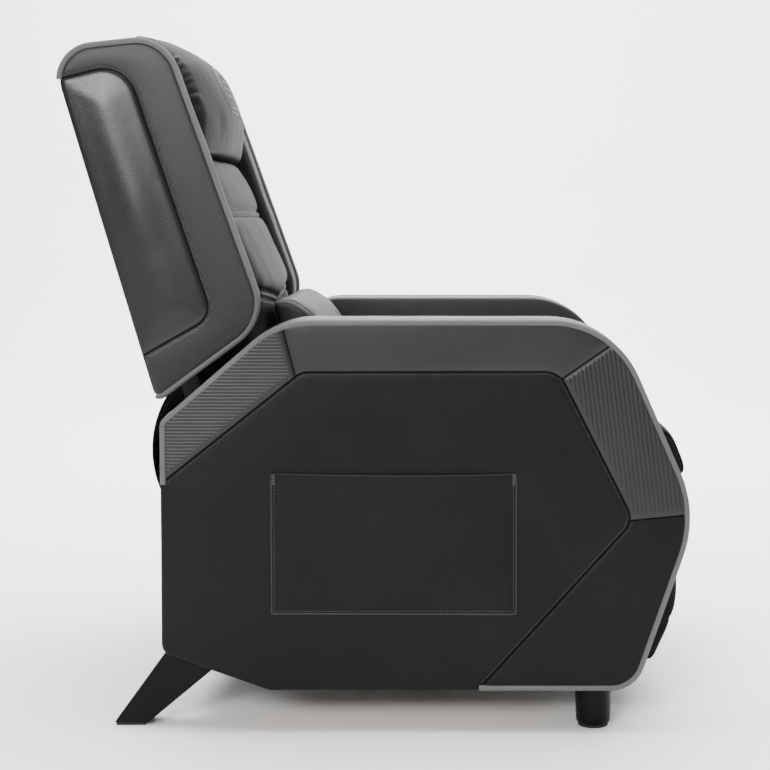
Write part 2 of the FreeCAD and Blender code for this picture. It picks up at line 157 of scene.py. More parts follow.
def shoulder(gap, width):
    """A quarter-round rise from 0 at an edge to 1 at a width from it."""
    return np.sqrt(1 - (1 - np.clip(gap / width, 0, 1)) ** 2)


def smooth(part):
    """An S-shaped step from 0 to 1."""
    part = np.clip(part, 0, 1)
    return part * part * (3 - 2 * part)


def on_back(flat):
    """Points (u, w) of the tilted back as (x, z)."""
    u, w = np.asarray(flat).T
    return np.column_stack([
        PIVOT[0] + u * math.cos(TILT) - w * math.sin(TILT),
        PIVOT[2] + u * math.sin(TILT) + w * math.cos(TILT)])


def upright(flat):
    """Points (x, z) of the chair's own frame, unchanged."""
    return np.asarray(flat)


def in_space(flat, y, frame_of=upright):
    """Points of the side view put into space at a level of y, or each at its own level."""
    place = frame_of(flat)
    return np.column_stack([place[:, 0], np.broadcast_to(y, len(place)), place[:, 1]])


def back_depth(points):
    """How far forward of the recline pivot points lie, square to the back."""
    return (points[:, 0] - PIVOT[0]) * math.cos(TILT) + (points[:, 2] - PIVOT[2]) * math.sin(TILT)


def back_rise(points):
    """How far up along the back points lie from the recline pivot."""
    return (points[:, 2] - PIVOT[2]) * math.cos(TILT) - (points[:, 0] - PIVOT[0]) * math.sin(TILT)


def uneven(flat, scale_x, scale_z, seed):
    """Smooth noise at flat points."""
    return np.array([noise.noise(Vector((x * scale_x, z * scale_z, seed))) for x, z in flat])


# ---- meshes -------------------------------------------------------------------------------

def make_object(name, points, faces, material, sharp=50):
    """A smooth-shaded mesh object with edges kept sharp above an angle in degrees."""
    mesh = bpy.data.meshes.new(name)
    mesh.from_pydata([tuple(map(float, point)) for point in points], [], faces)
    mesh.validate()
    thing = bpy.data.objects.new(name, mesh)
    bpy.context.scene.collection.objects.link(thing)
    mesh.materials.append(material)
    tidy_mesh(thing, sharp)
    return thing


def tidy_mesh(thing, sharp=50, weld=1e-5):
    """Weld stray doubles, turn the faces outwards and set the shading."""
    work = bmesh.new()
    work.from_mesh(thing.data)
    bmesh.ops.remove_doubles(work, verts=work.verts, dist=weld)
    bmesh.ops.recalc_face_normals(work, faces=work.faces)
    work.to_mesh(thing.data)
    work.free()
    thing.data.shade_smooth()
    thing.data.set_sharp_from_angle(angle=math.radians(sharp))


def close_behind(thing, moved):
    """Turn a panel into a closed piece: its rim is drawn out to moved(place) and filled in."""
    work = bmesh.new()
    work.from_mesh(thing.data)
    rim = [edge for edge in work.edges if edge.is_boundary]
    made = bmesh.ops.extrude_edge_only(work, edges=rim)["geom"]
    for vertex in [item for item in made if isinstance(item, bmesh.types.BMVert)]:
        vertex.co = moved(vertex.co)
    edges = [item for item in made if isinstance(item, bmesh.types.BMEdge)]
    bmesh.ops.contextual_create(work, geom=[edge for edge in edges if edge.is_boundary])
    work.to_mesh(thing.data)
    work.free()
    tidy_mesh(thing)


# Insets of the rows of points that follow a panel's edge.
RINGS = (0.0007, 0.0017, 0.0032, 0.0055, 0.0085)


def triangulated(outline, inner):
    """A flat mesh of an outline and the points inside it."""
    count = len(outline)
    edges = [(i, (i + 1) % count) for i in range(count)]
    points = [Vector(point) for point in np.vstack([outline, inner])]
    flat, _, faces, *_ = geometry.delaunay_2d_cdt(points, edges, [], 1, 1e-7)
    return np.array(flat), [tuple(face) for face in faces]


def fill(outline, spacing, slant=0.0, rings=RINGS):
    """A flat mesh inside an outline: rings that follow its edge, then a grid turned by slant."""
    inwards = -normals_of(outline, True)
    layers = []
    for ring in rings:
        moved = outline + inwards * ring
        layers.append(moved[distance(moved, outline, True) > ring * 0.9])
    turn = np.array([[math.cos(slant), -math.sin(slant)], [math.sin(slant), math.cos(slant)]])
    turned = outline @ turn
    low, high = turned.min(axis=0), turned.max(axis=0)
    columns = np.arange(math.ceil(low[0] / spacing[0]), high[0] / spacing[0]) * spacing[0]
    rows = np.arange(math.ceil(low[1] / spacing[1]), high[1] / spacing[1]) * spacing[1]
    grid = np.array(np.meshgrid(columns, rows)).reshape(2, -1).T @ turn.T
    grid = grid[inside(grid, outline)]
    layers.append(grid[distance(grid, outline, True) > rings[-1] + 0.4 * min(spacing)])
    return triangulated(outline, np.vstack(layers))


def panel(name, outline, height, level, behind, material, sign=-1, frame_of=upright,
          spacing=(0.008, 0.008), slant=0.0, sheet=0.0, rings=RINGS):
    """A sewn panel that faces sideways: raised by height(points, edge gap), and closed behind.

    level is how far out its edge lies from the middle of the chair, behind how thick it is.
    With sheet it is a skin of that thickness instead.
    """
    flat, faces = fill(outline, spacing, slant, rings)
    out = level + height(flat, distance(flat, outline, True))
    thing = make_object(name, in_space(flat, sign * out, frame_of), faces, material)
    if sheet:
        skin = thing.modifiers.new("Skin", "SOLIDIFY")
        skin.thickness = sheet
        skin.offset = 0
        apply_modifiers(thing)
    else:
        close_behind(thing, lambda place: (place.x, sign * (level - behind), place.z))
    return thing


def ring_faces(rings, count, start=0, closed=False):
    """Quads between rings of count points each, with both ends capped unless it is closed."""
    faces = []
    for i in range(rings if closed else rings - 1):
        here, there = start + i * count, start + (i + 1) % rings * count
        for j in range(count):
            k = (j + 1) % count
            faces.append((here + j, here + k, there + k, there + j))
    if not closed:
        faces.append(tuple(start + j for j in reversed(range(count))))
        faces.append(tuple(start + (rings - 1) * count + j for j in range(count)))
    return faces


def sweep(name, path, section, material, frame_of=upright, closed=False, swell=1.0):
    """A closed section carried along a flat path. A section point is (y, distance outwards)."""
    outwards = normals_of(path, closed)
    swell = np.broadcast_to(swell, len(path))
    rows = [in_space(path + outwards * (out * swell)[:, None], y, frame_of) for y, out in section]
    points = np.array(rows).transpose(1, 0, 2).reshape(-1, 3)
    return make_object(name, points, ring_faces(len(path), len(section), closed=closed), material)


def circle(y, out, radius, count=14):
    """A round section."""
    angles = [2 * math.pi * i / count for i in range(count)]
    return [(y + radius * math.cos(a), out + radius * math.sin(a)) for a in angles]


def tube(name, path, radius, material, flatten=1.0, normal=None, count=8):
    """A round or flattened cord along points in space."""
    path = np.asarray(path, float)
    along = np.gradient(path, axis=0)
    along /= np.linalg.norm(along, axis=1)[:, None]
    up = np.tile((0.0, 0.0, 1.0), (len(path), 1)) if normal is None else np.asarray(normal)
    side = np.cross(along, up)
    side /= np.linalg.norm(side, axis=1)[:, None]
    up = np.cross(side, along)
    rings = [
        path + radius * (math.cos(a) * side + math.sin(a) * flatten * up)
        for a in np.linspace(0, 2 * math.pi, count, endpoint=False)]
    points = np.array(rings).transpose(1, 0, 2).reshape(-1, 3)
    return make_object(name, points, ring_faces(len(path), count), material)


def lathe(name, profile, centre, material, count=48):
    """A turned piece about a vertical line. A profile point is (radius, z)."""
    points = []
    for radius, z in profile:
        for a in np.arange(count) * (2 * math.pi / count):
            points.append((centre[0] + radius * math.cos(a), centre[1] + radius * math.sin(a), z))
    return make_object(name, points, ring_faces(len(profile), count), material)


def apply_modifiers(thing):
    """Keep the shape that the modifiers give, without them."""
    depsgraph = bpy.context.evaluated_depsgraph_get()
    mesh = bpy.data.meshes.new_from_object(thing.evaluated_get(depsgraph))
    thing.modifiers.clear()
    thing.data = mesh


def refine(thing):
    """Subdivide a mesh smoothly, once."""
    finer = thing.modifiers.new("Finer", "SUBSURF")
    finer.levels = finer.render_levels = 1
    apply_modifiers(thing)


def read_points(thing, what="co"):
    """The mesh's points as an array, or its vertex normals with "normal"."""
    values = np.empty(len(thing.data.vertices) * 3)
    thing.data.vertices.foreach_get(what, values)
    return values.reshape(-1, 3)


def write_points(thing, points):
    """Move the mesh's points."""
    thing.data.vertices.foreach_set("co", np.asarray(points).ravel())
    thing.data.update()


# ---- cushions, seams and stitches ---------------------------------------------------------

PARING = 0.001      # how much an outline shrinks at a time towards a cushion's rounded ends
CLOTH_FRAMES = 20


def cushion(name, outline, low, high, material, frame_of=upright, rounding=0.02, step=0.0065,
            square=()):
    """A closed block with a side-view outline between two levels of y, its ends rounded over.

    square lists the ends, -1 or 1, that stay nearly square because they rest on something.
    """
    stations = []
    for end, y in ((-1, low), (1, high)):
        turn = 0.002 if end in square else rounding
        for angle in np.linspace(0, math.pi / 2, 3 if end in square else 6):
            stations.append((y - end * turn * (1 - math.sin(angle)), turn * (1 - math.cos(angle))))
    stations.sort()
    levels = [y for y, _ in stations]
    gaps = np.diff(levels)
    widest = int(np.argmax(gaps))
    between = np.linspace(levels[widest], levels[widest + 1], max(2, round(gaps[widest] / step)) + 1)
    stations[widest + 1:widest + 1] = [(y, 0.0) for y in between[1:-1]]
    shrunk = [resample(outline, step, True)]
    for _ in range(int(rounding / PARING) + 1):
        moved = shrunk[-1] - normals_of(shrunk[-1], True) * PARING
        shrunk.append(0.6 * moved + 0.2 * (np.roll(moved, 1, axis=0) + np.roll(moved, -1, axis=0)))
    rows = []
    for y, inset in stations:
        whole = int(inset / PARING)
        part = inset / PARING - whole
        rows.append(in_space((1 - part) * shrunk[whole] + part * shrunk[whole + 1], y, frame_of))
    size = len(rows[0])
    points = np.vstack(rows)
    faces = [
        (i * size + j, (i + 1) * size + j, (i + 1) * size + (j + 1) % size, i * size + (j + 1) % size)
        for i in range(len(rows) - 1) for j in range(size)]
    for y, inset in (stations[0], stations[-1]):
        flat, cap = fill_plain(shrunk[int(inset / PARING)], step)
        faces += [tuple(len(points) + k for k in face) for face in cap]
        points = np.vstack([points, in_space(flat, y, frame_of)])
    thing = make_object(name, points, faces, material, 180)
    tidy_mesh(thing, 180, 0.0012)
    return thing


def fill_plain(outline, step):
    """A flat even mesh inside an outline."""
    low, high = outline.min(axis=0), outline.max(axis=0)
    grid = np.array(np.meshgrid(np.arange(low[0], high[0], step), np.arange(low[1], high[1], step)))
    grid = grid.reshape(2, -1).T
    grid = grid[inside(grid, outline)]
    return triangulated(outline, grid[distance(grid, outline, True) > step * 0.6])


def inflate(thing, pressure, cap, held, grow=0.02):
    """Blow a cushion up as cloth. held says which points stay put, cap how far any may move."""
    start = read_points(thing)
    group = thing.vertex_groups.new(name="held")
    group.add([int(i) for i in np.nonzero(held(start))[0]], 1.0, "REPLACE")
    cloth = thing.modifiers.new("Cloth", "CLOTH")
    cloth.settings.use_pressure = True
    cloth.settings.uniform_pressure_force = pressure
    cloth.settings.effector_weights.gravity = 0
    cloth.settings.vertex_group_mass = "held"
    cloth.settings.shrink_min = -grow
    cloth.settings.quality = 5
    cloth.point_cache.frame_end = CLOTH_FRAMES
    scene = bpy.context.scene
    for number in range(1, CLOTH_FRAMES + 1):
        scene.frame_set(number)
    swollen = thing.evaluated_get(bpy.context.evaluated_depsgraph_get())
    shift = even_out(thing, read_points(swollen) - start)
    thing.modifiers.clear()
    thing.vertex_groups.clear()
    scene.frame_set(1)
    length = np.linalg.norm(shift, axis=1)
    soft_cap = cap * np.tanh(length / cap) / np.maximum(length, 1e-9)
    write_points(thing, start + shift * soft_cap[:, None])


def soft_block(node, outline, inset, material, frame_of, rounding, swelling, tapering=(), step=0.0065):
    """A swollen cushion in place of a CAD node, its ends set in by inset from the node's box."""
    low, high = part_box(node)
    piece = cushion(f"{node}_cover", outline, low.y + inset, high.y - inset, material, frame_of,
                    rounding, step)
    if tapering:
        taper(piece, *tapering)
    inflate(piece, *swelling)
    refine(piece)
    return piece


def even_out(thing, shift, rounds=10):
    """Smooth a movement of the mesh's points over their neighbours."""
    ends = np.array([edge.vertices[:] for edge in thing.data.edges])
    count = np.bincount(ends.ravel(), minlength=len(shift))[:, None]
    for _ in range(rounds):
        total = np.zeros_like(shift)
        np.add.at(total, ends[:, 0], shift[ends[:, 1]])
        np.add.at(total, ends[:, 1], shift[ends[:, 0]])
        shift = 0.4 * shift + 0.6 * total / count
    return shift


def taper(thing, back, forward, sink, drop=0.0, power=2.3):
    """Thin a back cushion towards its two ends: sink its front, and drop its top."""
    points = read_points(thing)
    half = np.abs(points[:, 1]).max()
    ends = (np.abs(points[:, 1]) / half) ** power
    ahead = smooth((back_depth(points) - back) / (forward - back))
    rise = back_rise(points)
    above = smooth((rise - rise.mean()) / (rise.max() - rise.mean()))
    shift_u, shift_w = -sink * ends * ahead, -drop * ends * above
    points[:, 0] += shift_u * math.cos(TILT) - shift_w * math.sin(TILT)
    points[:, 2] += shift_u * math.sin(TILT) + shift_w * math.cos(TILT)
    write_points(thing, points)


def carve(thing, line, depth=0.003, width=0.003, pull=0.004, reach=0.022):
    """Sink a sewn seam into a cushion along points in space, and pull the padding in beside it."""
    points, normals = read_points(thing), read_points(thing, "normal")
    line = resample(line, 0.0015)
    gap = np.full(len(points), 9.0)
    low, high = line.min(axis=0) - 0.07, line.max(axis=0) + 0.07
    near = np.nonzero(((points > low) & (points < high)).all(axis=1))[0]
    for start in range(0, len(near), 2000):
        some = near[start:start + 2000]
        gap[some] = np.linalg.norm(points[some][:, None] - line[None], axis=2).min(axis=1)
    down = depth * np.exp(-(gap / width) ** 2) + pull * np.exp(-(gap / reach) ** 2)
    write_points(thing, points - normals * down[:, None])


def ruffle(thing, size, amount, seed=0.0):
    """Slow uneven waves over a padded surface."""
    points, normals = read_points(thing), read_points(thing, "normal")
    waves = np.array([noise.noise(Vector(point) / size + Vector((seed, 0, 0))) for point in points])
    write_points(thing, points + normals * (amount * waves)[:, None])


def surface_of(thing):
    """A tree that finds the closest place on a piece."""
    work = bmesh.new()
    work.from_mesh(thing.data)
    tree = BVHTree.FromBMesh(work)
    work.free()
    return tree


def laid_on(tree, line, lift=0.0, step=0.0025):
    """A line laid on a surface, and the surface's normals under it."""
    places, normals = [], []
    for point in resample(line, step):
        place, normal, _, _ = tree.find_nearest(Vector(point))
        places.append(place + normal * lift)
        normals.append(normal)
    return np.array(places), np.array(normals)


def stitches(name, tree, line, material, pitch=0.0052, long=0.0036, radius=0.00055):
    """A row of stitches along a line on a surface, each a short arched thread."""
    places, normals = laid_on(tree, line, 0.0002, pitch)
    along = np.gradient(places, axis=0)
    along /= np.linalg.norm(along, axis=1)[:, None]
    points, faces = [], []
    for place, normal, direction in zip(places, normals, along):
        side = np.cross(direction, normal)
        side /= max(np.linalg.norm(side), 1e-9)
        start = len(points)
        for part, size, lift in ((-0.5, 0.4, -0.4), (-0.25, 1, 0.3), (0.25, 1, 0.3), (0.5, 0.4, -0.4)):
            for corner in range(6):
                a = corner * math.pi / 3
                points.append(
                    place + direction * long * part
                    + radius * (size * (math.cos(a) * side + math.sin(a) * normal) + lift * normal))
        faces += ring_faces(4, 6, start)
    return make_object(name, points, faces, material)


# ---- fitting to the frame -----------------------------------------------------------------

def fit(piece, body, nodes=()):
    """Fix a finished piece to its body, and hide the CAD nodes that it stands for."""
    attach(piece, body)
    if nodes:
        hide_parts(*nodes)


def fit_pair(piece, body, stems=()):
    """Fit a right-hand piece and its mirror image. stems are CAD names without their side."""
    twin = piece.copy()
    twin.data = piece.data.copy()
    twin.name = piece.name.replace("right", "left")
    twin.data.transform(Matrix.Scale(-1, 4, (0, 1, 0)))
    twin.data.flip_normals()
    bpy.context.scene.collection.objects.link(twin)
    fit(piece, body, [f"{stem}_right" for stem in stems])
    fit(twin, body, [f"{stem}_left" for stem in stems])


# ---- materials ----------------------------------------------------------------------------

def grey(level, warmth=0.0):
    """A neutral colour, a little warm or cool."""
    return (level * (1 + warmth), level, level * (1 - warmth))


def new_material(name, roughness, metallic=0.0, specular=0.5, sheen=0.0):
    """A material with its shader and object coordinates, ready for detail."""
    material = bpy.data.materials.new(name)
    material.use_nodes = True
    tree = material.node_tree
    shader = tree.nodes["Principled BSDF"]
    shader.inputs["Roughness"].default_value = roughness
    shader.inputs["Metallic"].default_value = metallic
    shader.inputs["Specular IOR Level"].default_value = specular
    shader.inputs["Sheen Weight"].default_value = sheen
    place = tree.nodes.new("ShaderNodeTexCoord").outputs["Object"]
    return material, tree, shader, place


def add_node(tree, kind, links=(), **settings):
    """A node with its sockets set by name or linked."""
    made = tree.nodes.new(kind)
    for key, setting in settings.items():
        if hasattr(made, key):
            setattr(made, key, setting)
        else:
            made.inputs[key.replace("_", " ")].default_value = setting
    for socket, source in links:
        tree.links.new(source, made.inputs[socket])
    return made


def tint(tree, shader, source, low, high, start=0.0, end=1.0):
    """Base colour that runs from low to high as a value runs from start to end."""
    made = add_node(tree, "ShaderNodeValToRGB", [("Fac", source)])
    for stop, position, colour in zip(made.color_ramp.elements, (start, end), (low, high)):
        stop.position = position
        stop.color = (*colour, 1)
    tree.links.new(made.outputs["Color"], shader.inputs["Base Color"])


def cloudy(tree, place, scale, detail=2.0):
    """The value of a noise texture."""
    made = add_node(tree, "ShaderNodeTexNoise", [("Vector", place)], Scale=scale, Detail=detail)
    return made.outputs["Fac"]


def reckon(tree, operation, *values):
    """A sum, product or other function of sockets and numbers."""
    made = add_node(tree, "ShaderNodeMath", operation=operation)
    for number, value in enumerate(values):
        if isinstance(value, bpy.types.NodeSocket):
            tree.links.new(value, made.inputs[number])
        else:
            made.inputs[number].default_value = value
    return made.outputs[0]


def spread(tree, source, low, high):
    """A value mapped from 0..1 to low..high."""
    made = add_node(tree, "ShaderNodeMapRange", [("Value", source)], To_Min=low, To_Max=high)
    return made.outputs["Result"]


def add_bump(tree, shader, height, size, below=None):
    """Surface relief of a given height in metres, over any relief below it."""
    links = [("Height", height)] + ([("Normal", below)] if below else [])
    made = add_node(tree, "ShaderNodeBump", links, Strength=1.0, Distance=size)
    tree.links.new(made.outputs["Normal"], shader.inputs["Normal"])
    return made.outputs["Normal"]


def leather(name, dark, light, roughness=0.42, grain=620.0, depth=0.00012, specular=0.25,
            creasing=0.0006):
    """Faux leather: pebble grain, fine creases, uneven gloss and slight colour drift."""
    material, tree, shader, place = new_material(name, roughness, specular=specular)
    pebbles = add_node(
        tree, "ShaderNodeTexVoronoi", [("Vector", place)], feature="SMOOTH_F1", Scale=grain)
    pores = cloudy(tree, place, grain * 2.6)
    creases = cloudy(tree, place, 38, 5)
    tint(tree, shader, cloudy(tree, place, 5, 3), dark, light, 0.3, 0.7)
    gloss = spread(tree, reckon(tree, "MULTIPLY", creases, pores), roughness - 0.02, roughness + 0.05)
    tree.links.new(gloss, shader.inputs["Roughness"])
    waves = add_bump(tree, shader, creases, creasing)
    cells = add_bump(tree, shader, pebbles.outputs["Distance"], depth, waves)
    add_bump(tree, shader, pores, depth * 0.4, cells)
    return material


def twill(name, dark, light, roughness=0.36, pitch=0.0032):
    """Embossed carbon-look faux leather: diagonal ribs that change direction in a fine check."""
    material, tree, shader, place = new_material(name, roughness, specular=0.3)
    x, _, z = add_node(tree, "ShaderNodeSeparateXYZ", [("Vector", place)]).outputs
    ribs = [
        reckon(tree, "SINE", reckon(tree, "MULTIPLY", reckon(tree, kind, x, z), 2 * math.pi / pitch))
        for kind in ("ADD", "SUBTRACT")]
    check = add_node(tree, "ShaderNodeTexChecker", [("Vector", place)], Scale=1 / (2.2 * pitch))
    blend = add_node(tree, "ShaderNodeMix", [(0, check.outputs["Fac"]), (2, ribs[0]), (3, ribs[1])])
    weave = spread(tree, blend.outputs[0], 0.0, 1.0)
    tint(tree, shader, weave, dark, light)
    grain = add_bump(tree, shader, cloudy(tree, place, 900), 0.00004)
    add_bump(tree, shader, weave, 0.00022, grain)
    return material


def woven(name, dark, light, thread=0.0012, roughness=0.9, depth=0.0004, sheen=0.25):
    """Plain-woven cloth: threads over and under, with fuzz."""
    material, tree, shader, place = new_material(name, roughness, specular=0.15, sheen=sheen)
    x, y, z = [
        add_node(tree, "ShaderNodeTexWave", [("Vector", place)], bands_direction=axis,
                 Scale=0.314 / thread).outputs["Fac"] for axis in "XYZ"]
    weave = reckon(tree, "ADD", reckon(tree, "MULTIPLY", x, y), z)
    mixed = reckon(tree, "MULTIPLY", weave, cloudy(tree, place, 240, 4))
    tint(tree, shader, mixed, dark, light, 0.05, 0.9)
    add_bump(tree, shader, weave, depth)
    return material


def timber(name, dark, light):
    """Raw softwood: long grain, rings and pores."""
    material, tree, shader, place = new_material(name, 0.72, specular=0.3)
    long = add_node(tree, "ShaderNodeMapping", [("Vector", place)], Scale=(1.0, 6.0, 6.0)).outputs[0]
    rings = add_node(tree, "ShaderNodeTexWave", [("Vector", long)], bands_direction="Z",
                     Scale=7, Distortion=7, Detail=3)
    both = reckon(tree, "MULTIPLY", rings.outputs["Fac"], cloudy(tree, long, 90, 5))
    tint(tree, shader, both, dark, light, 0.1, 0.75)
    add_bump(tree, shader, both, 0.0003)
    return material


def coated(name, dark, light, roughness, metallic=0.0, specular=0.3, grain=260.0, depth=0.00006,
           along=(1.0, 1.0, 1.0)):
    """Paint, plating or moulded plastic: fine skin, scuffs and uneven gloss."""
    material, tree, shader, place = new_material(name, roughness, metallic, specular)
    stretched = add_node(tree, "ShaderNodeMapping", [("Vector", place)], Scale=along)
    scuffs = cloudy(tree, place, 14, 8)
    tint(tree, shader, scuffs, dark, light, 0.35, 0.75)
    gloss = spread(tree, scuffs, roughness - 0.08, roughness + 0.14)
    tree.links.new(gloss, shader.inputs["Roughness"])
    add_bump(tree, shader, cloudy(tree, stretched.outputs[0], grain, 3), depth)
    return material


SIDE = leather("side_leather", grey(0.0035, -0.01), grey(0.0055, -0.01), 0.46, specular=0.11)
TRIM = leather(
    "trim_leather", grey(0.009, -0.02), grey(0.014, -0.02), 0.40, grain=800, depth=0.00008, specular=0.26)
WING = leather(
    "wing_leather", grey(0.004, -0.02), grey(0.006, -0.02), 0.29, specular=0.34, creasing=0.0002)
SOFT = leather(
    "cushion_leather", grey(0.010), grey(0.014), 0.52, grain=560, specular=0.03, creasing=0.0009)
PILLOW = leather(
    "pillow_leather", grey(0.018), grey(0.024), 0.50, grain=560, specular=0.06, creasing=0.0009)
ARM = leather("arm_leather", grey(0.012, -0.01), grey(0.017, -0.01), 0.46, specular=0.18)
CARBON = twill("carbon_leather", grey(0.004, -0.01), grey(0.018, -0.01))
PIPE = leather(
    "piping_leather", grey(0.075), grey(0.095), 0.55, grain=900, depth=0.00008, specular=0.13)
BOXING = leather(
    "boxing_leather", grey(0.026), grey(0.036), 0.55, grain=700, depth=0.00008, specular=0.13)
THREAD = woven("sewing_thread", grey(0.014), grey(0.032), 0.0006)
PALE_THREAD = woven("pale_thread", grey(0.20), grey(0.34), 0.0006)
CLOTH = woven("lining_cloth", grey(0.007), grey(0.010), 0.0016, depth=0.00012, sheen=0.03)
WEBBING = woven("elastic_webbing", grey(0.02), grey(0.07), 0.0022, depth=0.0008)
TIMBER = timber("raw_pine", (0.42, 0.27, 0.13), (0.66, 0.49, 0.29))
LACQUER = coated("leg_lacquer", grey(0.002), grey(0.004), 0.36, specular=0.10, grain=90, depth=0.00004)
RUBBER = coated("glide_plastic", grey(0.012), grey(0.02), 0.7)
POWDER = coated("powder_coat", grey(0.012), grey(0.020), 0.42, grain=420, depth=0.00012)
ZINC = coated(
    "zinc_plate", grey(0.42, 0.01), grey(0.6, 0.01), 0.34, 1.0, 0.5, grain=160, along=(1.0, 1.0, 9.0))

NODE_MATERIALS = {
    "timber": TIMBER, "webbing": WEBBING, "frame_steel": POWDER, "bright_steel": ZINC,
    "leg_black": LACQUER, "glide": RUBBER, "black_cloth": CLOTH}


def dress_frame():
    """Give each CAD node that stays in view the material of its slot."""
    slots = {item["node"]: item["material_slot"] for item in frame["record"]["subparts"]}
    for name, thing in frame["nodes"].items():
        if slots[name] in NODE_MATERIALS:
            for holder in thing.material_slots:
                holder.material = NODE_MATERIALS[slots[name]]


# ---- arms ---------------------------------------------------------------------------------

ARM_LOW, ARM_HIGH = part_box("side_panel_right")
REAR, BOTTOM, TOP = ARM_LOW.x, ARM_LOW.z, ARM_HIGH.z
SEWN_EDGE = 0.0025          # how far a cover's sewn edge lies inside its CAD panel
SIDE_LEVEL = -ARM_LOW.y - SEWN_EDGE
SIDE_THICK = 0.0135         # how thick an arm's outer cover is at its edge
ARM_INSIDE = -0.2885        # the right arm's inner edge
ARM_LOOP = rounded([
    (REAR, BOTTOM + 0.056, 0.018), (-0.1577, BOTTOM, 0.012), (0.3888, BOTTOM, 0.05),
    (0.4808, 0.3326, 0.17), (0.3547, TOP, 0.14), (-0.1435, TOP, 0.13), (REAR, 0.470, 0.014)])
SIDE_SEAM = rounded([
    (REAR, 0.3785, 0), (-0.1085, 0.5445, 0.03), (0.2745, 0.5450, 0.035),
    (0.3865, 0.3225, 0.03), (0.1558, BOTTOM, 0)], closed=False)
REAR_RIBS = (0.0, 0.0051, 0.0008)
FRONT_RIBS = (math.radians(97), 0.0064, 0.0010)


def ribbed(slant, pitch, depth):
    """Height of a padded trim with fine sewn ribs that run along a slanted direction."""
    square_to = np.array((-math.sin(slant), math.cos(slant)))

    def height(flat, gap):
        ridge = 0.5 + 0.5 * np.cos(2 * math.pi * (flat @ square_to) / pitch)
        return 0.0034 * shoulder(gap, 0.006) + depth * ridge * smooth((gap - 0.0034) / 0.003)
    return height


def padded_height(rise, edge, crown, reach):
    """Height of a plain padded panel: a rounded edge, then a gentle crown."""
    def height(flat, gap):
        swell = 1 + 0.35 * uneven(flat, 9, 9, 1.7)
        return rise * shoulder(gap, edge) + crown * smooth(gap / reach) * swell
    return height


def make_side_covers():
    """The outer face of an arm: centre panel, plain and ribbed trims, all sewn edge to edge."""
    feet = ((-0.1165, 0.5395), (0.2835, 0.5360), (0.3790, 0.3215))
    tops = ((-0.1405, TOP), (0.3700, 0.6085), (0.4710, 0.3290))
    seams = [
        resample([SIDE_SEAM[nearest(SIDE_SEAM, foot)], ARM_LOOP[nearest(ARM_LOOP, top)]], 0.004)
        for foot, top in zip(feet, tops)]
    start, end = SIDE_SEAM[0], SIDE_SEAM[-1]
    regions = (
        ("rear_trim", joined(stretch(SIDE_SEAM, start, feet[0]), seams[0],
                             stretch(ARM_LOOP, tops[0], start, True)), ribbed(*REAR_RIBS), TRIM, REAR_RIBS),
        ("top_border", joined(stretch(SIDE_SEAM, feet[0], feet[1]), seams[1],
                              stretch(ARM_LOOP, tops[1], tops[0], True), seams[0][::-1]),
         padded_height(0.0034, 0.009, 0.001, 0.03), TRIM, None),
        ("front_trim", joined(stretch(SIDE_SEAM, feet[1], feet[2]), seams[2],
                              stretch(ARM_LOOP, tops[2], tops[1], True), seams[1][::-1]),
         ribbed(*FRONT_RIBS), TRIM, FRONT_RIBS),
        ("lower_border", joined(stretch(SIDE_SEAM, feet[2], end),
                                stretch(ARM_LOOP, end, tops[2], True), seams[2][::-1]),
         padded_height(0.0034, 0.009, 0.0012, 0.04), SIDE, None),
        ("centre_panel", joined(SIDE_SEAM[::-1], stretch(ARM_LOOP, start, end, True)),
         padded_height(0.0036, 0.011, 0.0032, 0.07), SIDE, None))
    for name, outline, height, material, ribs in regions:
        slant, spacing = (ribs[0], (0.006, ribs[1] / 4)) if ribs else (0.0, (0.009, 0.009))
        piece = panel(f"side_{name}_right", outline, height, SIDE_LEVEL, SIDE_THICK, material,
                      spacing=spacing, slant=slant, rings=RINGS[:3] if ribs else RINGS)
        nodes = ("side_panel",) if name == "centre_panel" else ()
        fit_pair(piece, "chassis", nodes)
        if name == "centre_panel":
            make_side_stitches(surface_of(piece))


def make_side_stitches(tree):
    """A row of stitches beside the long seam of the outer face."""
    inner = SIDE_SEAM + normals_of(SIDE_SEAM) * 0.0045
    row = in_space(inner, -SIDE_LEVEL)[3:-3]
    fit_pair(stitches("side_stitches_right", tree, row, THREAD), "chassis")


def make_arm_piping():
    """Grey piping from the rear seam over the top and front of an arm to the bottom seam."""
    path = stretch(ARM_LOOP, SIDE_SEAM[-1], SIDE_SEAM[0], True)
    section = circle(-SIDE_LEVEL - 0.0012, -0.0024, 0.0044)
    piece = sweep("arm_piping_right", path, section, PIPE)
    fit_pair(piece, "chassis", ("side_piping",))
    tail = stretch(ARM_LOOP, SIDE_SEAM[0], SIDE_SEAM[-1], True)
    edge = sweep("side_folded_edge_right", tail, circle(-SIDE_LEVEL + 0.0022, -0.0014, 0.0032), SIDE)
    fit_pair(edge, "chassis")


def crowned(low, high, rise, edge=0.012, thick=0.012, count=26):
    """A section that is crowned on top between two levels of y and flat below."""
    top = []
    for part in np.linspace(0, 1, count):
        y = low + (high - low) * (0.5 - 0.5 * math.cos(math.pi * part))
        gap = min(y - low, high - y)
        middle = 1 - abs(2 * (y - low) / (high - low) - 1) ** 2
        top.append((y, -0.003 + 0.004 * float(shoulder(gap, edge)) + rise * middle))
    return top + [(high, -thick), (low, -thick)]


